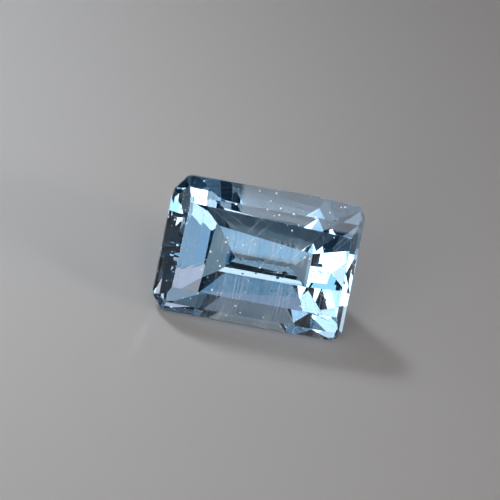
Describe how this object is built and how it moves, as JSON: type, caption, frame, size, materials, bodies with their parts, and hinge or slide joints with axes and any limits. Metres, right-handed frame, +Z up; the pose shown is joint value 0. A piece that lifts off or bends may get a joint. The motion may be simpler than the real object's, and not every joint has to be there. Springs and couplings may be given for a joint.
{
  "type": "cut blue topaz gemstone",
  "caption": "Loose blue topaz in a rectangular step cut, lying on a pavilion facet with its table tilted up.",
  "frame": {"origin": "on the surface the stone lies on, under the middle of its bounding box", "axes": "+X along the stone's length, +Z up, table leaning towards -Y"},
  "size_m": [0.007, 0.004, 0.0042],
  "materials": {
    "topaz": "polished flat facets with worn junctions"
  },
  "bodies": {
    "root": {"topaz": "topaz"}
  },
  "joints": []
}
